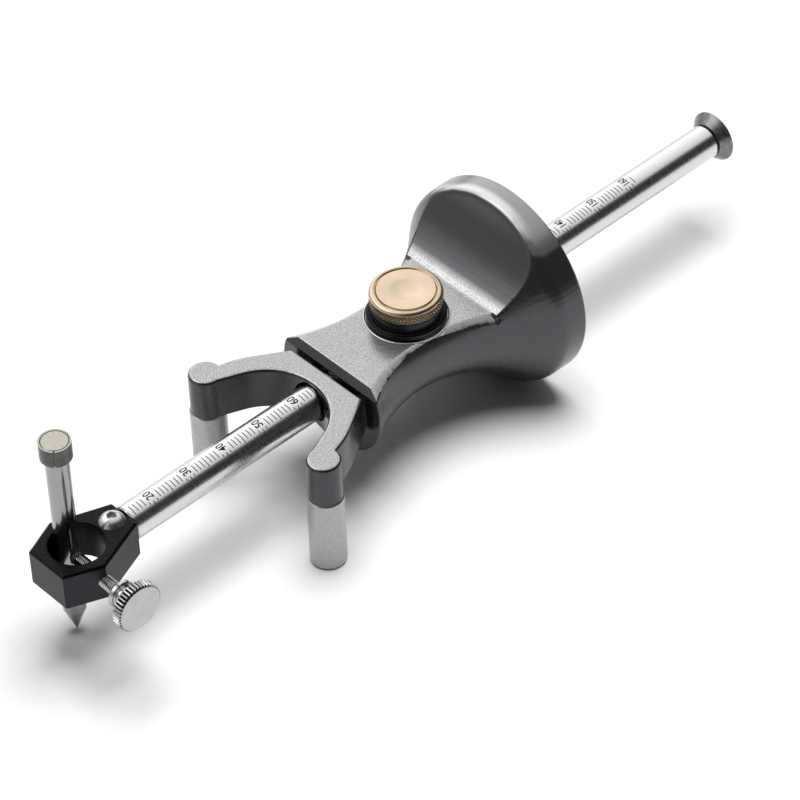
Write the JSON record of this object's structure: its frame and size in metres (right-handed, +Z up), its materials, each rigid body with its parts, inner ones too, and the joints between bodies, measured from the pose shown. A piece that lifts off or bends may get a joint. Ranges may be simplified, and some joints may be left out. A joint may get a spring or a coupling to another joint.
{
  "type": "carpenter scribe",
  "caption": "Marking scribe with a flanged stock on a two-legged fork, sliding on a graduated rod that carries a clamped scriber point at one end and a bevelled marking wheel at the other.",
  "frame": {"origin": "on the ground under the middle of the tool's length, on the rod's vertical plane", "axes": "+X along the rod from the scriber to the marking wheel, +Z up from the legs' feet, +Y to the left of the rod seen from the scriber"},
  "size_m": [0.1968, 0.048, 0.0542],
  "materials": {
    "casting": "fine speckled grey",
    "rod_steel": "satin with an etched scale",
    "leg_steel": "bead blasted",
    "black_metal": "black anodised",
    "brass": "turned and knurled",
    "bronze": "plain bearing",
    "nickel": "nickel plated, knurled",
    "screw_steel": "bright",
    "dark_steel": "hardened and ground",
    "scriber_steel": "ground",
    "tip_plastic": "matt"
  },
  "bodies": {
    "stock": {"stock_body": "casting", "fork": "casting", "fork_screws": "dark_steel", "leg_left": "leg_steel", "leg_right": "leg_steel", "bush_front": "bronze", "bush_rear": "bronze", "lock_bush": "black_metal"},
    "rod": {"guide_rod": "rod_steel", "scribe_head": "black_metal", "head_screw": "screw_steel", "cutter_wheel": "dark_steel", "cutter_screw": "dark_steel"},
    "pad": {"lock_pad": "bronze"},
    "knob": {"lock_knob": "brass", "lock_stud": "screw_steel"},
    "tip": {"thumb_tip": "tip_plastic"},
    "thumb": {"thumb_screw": "nickel"},
    "scriber": {"scriber_pin": "scriber_steel", "scriber_sleeve": "dark_steel"}
  },
  "joints": [
    {"name": "rod_slide", "type": "slide", "parent": "stock", "child": "rod", "axis": [1, 0, 0], "range_m": [-0.062, 0.04]},
    {"name": "pad_lift", "type": "slide", "parent": "stock", "child": "pad", "axis": [0, 0, 1], "range_m": [0, 0.001]},
    {"name": "knob_turn", "type": "hinge", "parent": "pad", "child": "knob", "pos_m": [0.00225, 0, 0.036], "axis": [0, 0, 1], "range_deg": [0, 360]},
    {"name": "tip_slide", "type": "slide", "parent": "rod", "child": "tip", "axis": [0, -1, 0], "range_m": [0, 0.0015]},
    {"name": "thumb_turn", "type": "hinge", "parent": "tip", "child": "thumb", "pos_m": [-0.09005, -0.012, 0.0228], "axis": [0, -1, 0], "range_deg": [0, 1080]},
    {"name": "scriber_slide", "type": "slide", "parent": "rod", "child": "scriber", "axis": [0, 0, 1], "range_m": [-0.02, 0.014]}
  ],
  "couplings": [
    {"joint": "knob_turn", "follows": "pad_lift", "rad_per_m": 6283.2},
    {"joint": "thumb_turn", "follows": "tip_slide", "rad_per_m": 12566}
  ]
}
